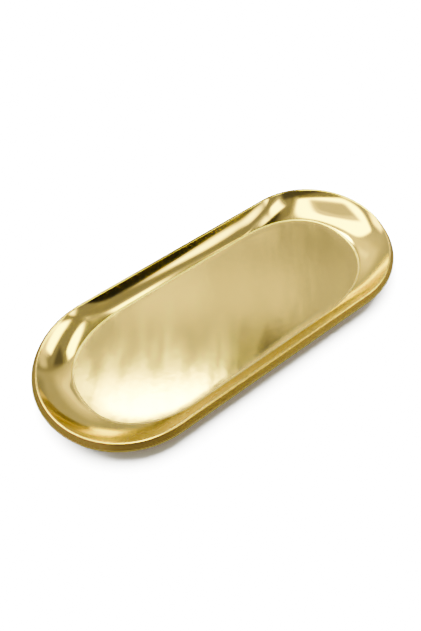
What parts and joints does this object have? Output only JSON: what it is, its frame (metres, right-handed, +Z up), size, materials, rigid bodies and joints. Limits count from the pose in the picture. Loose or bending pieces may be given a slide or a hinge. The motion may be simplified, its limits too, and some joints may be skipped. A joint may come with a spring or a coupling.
{
  "type": "oval metal tray",
  "caption": "Shallow oval tray pressed from one sheet of gold-toned steel, with a flat floor, a coved wall and a turned-down lip.",
  "frame": {"origin": "middle of the floor's underside, on the surface the tray rests on", "axes": "+X along the tray, +Y across it, +Z up out of the tray"},
  "size_m": [0.231, 0.096, 0.012],
  "materials": {
    "gold_metal": "gold-toned stainless steel: mirror-like rim and wall, satin floor with a fine grain"
  },
  "bodies": {
    "root": {"tray": "gold_metal"}
  },
  "joints": []
}
